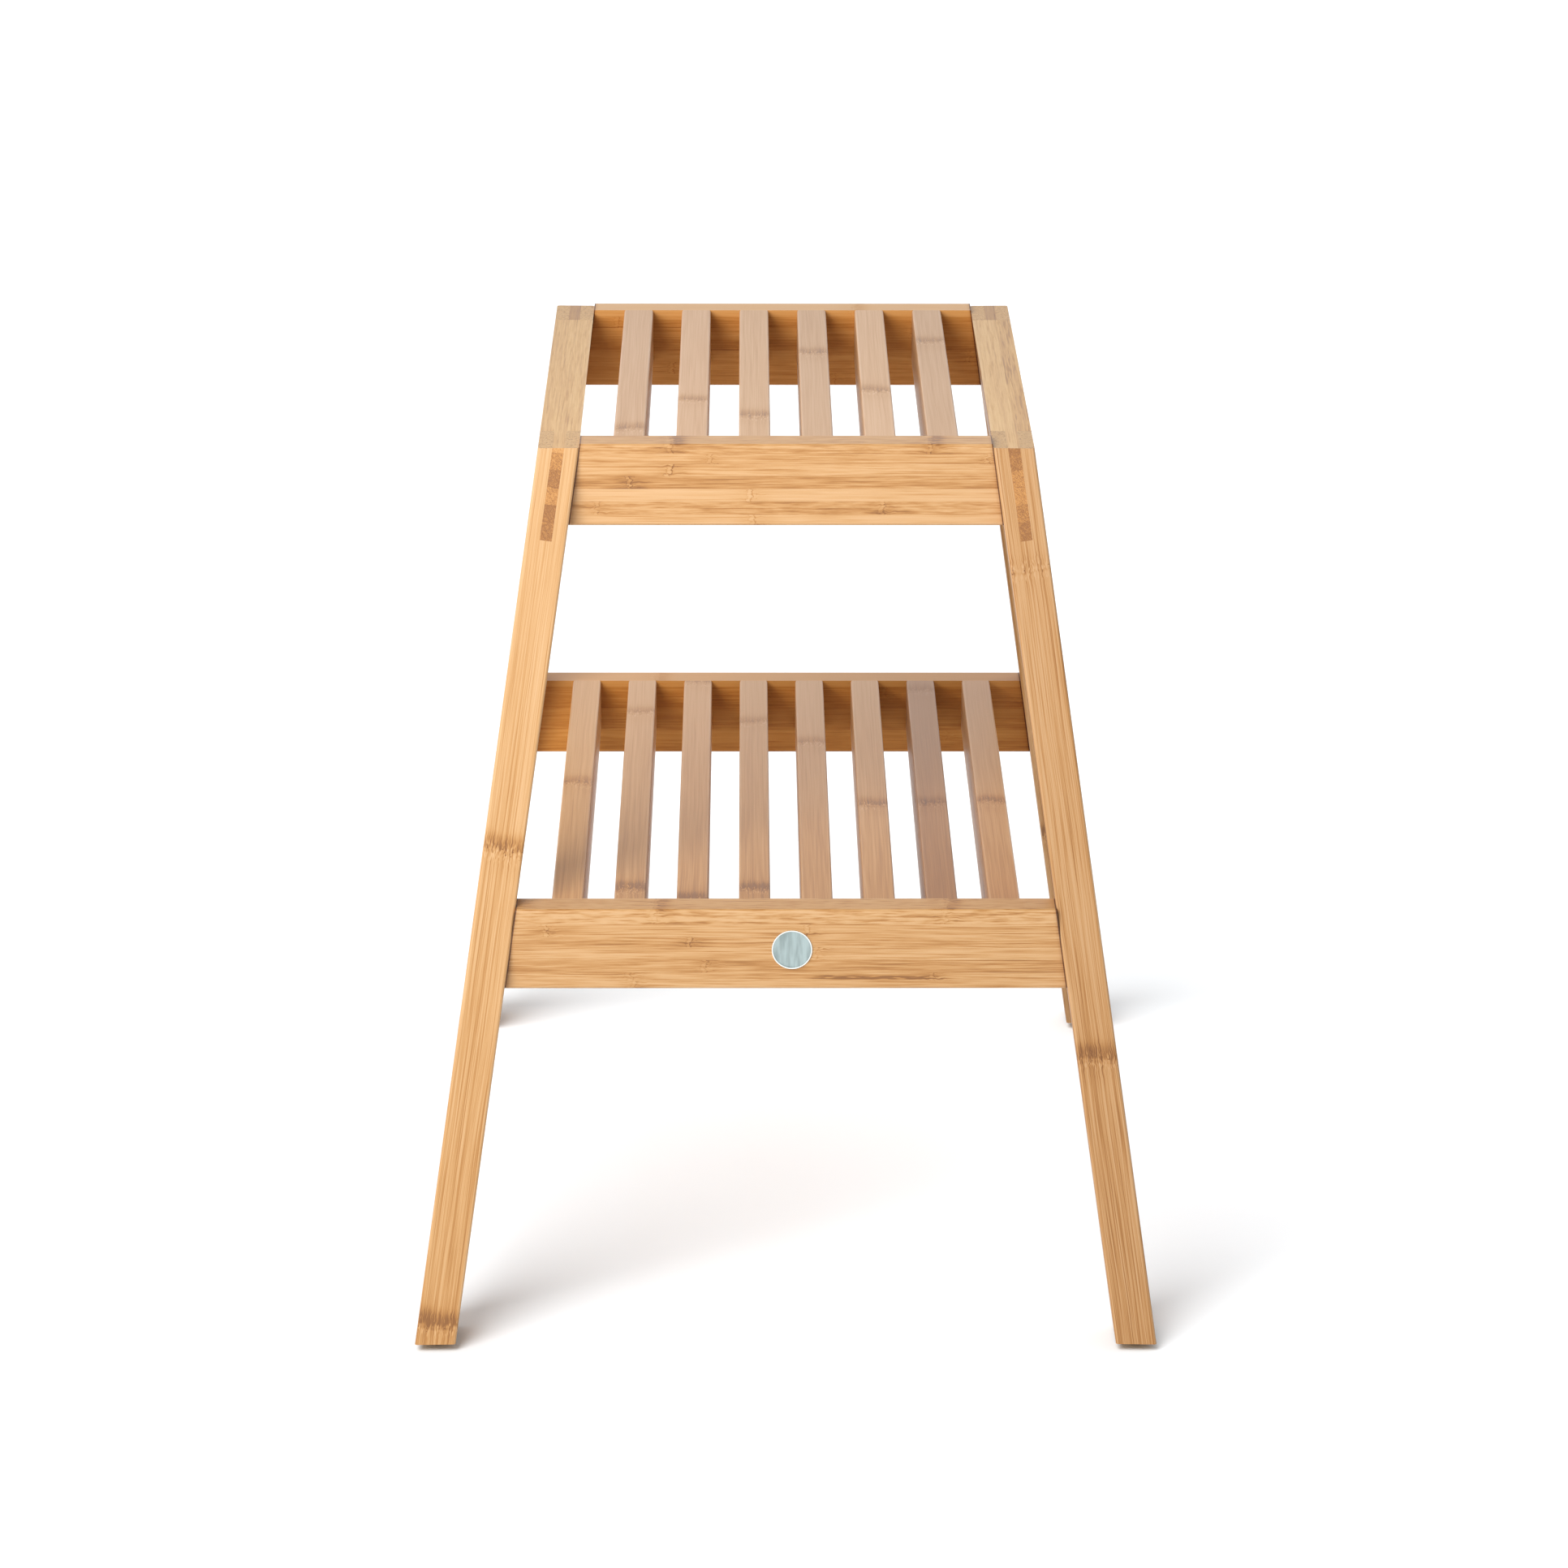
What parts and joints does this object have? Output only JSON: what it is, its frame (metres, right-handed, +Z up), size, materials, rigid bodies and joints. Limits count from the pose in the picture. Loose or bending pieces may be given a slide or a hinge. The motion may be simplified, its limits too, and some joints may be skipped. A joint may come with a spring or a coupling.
{
  "type": "entryway bench",
  "caption": "Small slatted bamboo bench with leaning side frames, splayed legs, a slatted seat and a slatted lower shelf.",
  "frame": {"origin": "on the floor, under the middle of the bench", "axes": "+X to the right seen from the badge's side, -Y towards the badge's side, +Z up"},
  "size_m": [0.3774, 0.5314, 0.45],
  "materials": {
    "bamboo_frame": "satin clear varnish on laminated bamboo",
    "bamboo_apron": "satin clear varnish on laminated bamboo",
    "bamboo_slat": "satin clear varnish on laminated bamboo",
    "dowel_wood": "bare beech",
    "steel": "zinc-plated",
    "badge_metal": "brushed, pale blue-green tint",
    "glide_plastic": "moulded, matte"
  },
  "bodies": {
    "root": {"leg_front_left": "bamboo_frame", "leg_front_right": "bamboo_frame", "leg_rear_left": "bamboo_frame", "leg_rear_right": "bamboo_frame", "rail_left": "bamboo_frame", "rail_right": "bamboo_frame", "seat_apron_front": "bamboo_apron", "seat_apron_rear": "bamboo_apron", "seat_slat_1": "bamboo_slat", "seat_slat_2": "bamboo_slat", "seat_slat_3": "bamboo_slat", "seat_slat_4": "bamboo_slat", "seat_slat_5": "bamboo_slat", "seat_slat_6": "bamboo_slat", "shelf_apron_front": "bamboo_apron", "shelf_apron_rear": "bamboo_apron", "shelf_slat_1": "bamboo_slat", "shelf_slat_2": "bamboo_slat", "shelf_slat_3": "bamboo_slat", "shelf_slat_4": "bamboo_slat", "shelf_slat_5": "bamboo_slat", "shelf_slat_6": "bamboo_slat", "shelf_slat_7": "bamboo_slat", "shelf_slat_8": "bamboo_slat", "badge_disc": "badge_metal", "glide_front_left": "glide_plastic", "glide_front_right": "glide_plastic", "glide_rear_left": "glide_plastic", "glide_rear_right": "glide_plastic", "glide_nails": "steel", "frame_bolts": "steel", "barrel_nuts": "steel", "apron_dowels": "dowel_wood", "seat_slat_dowels": "dowel_wood", "shelf_slat_dowels": "dowel_wood"}
  },
  "joints": []
}
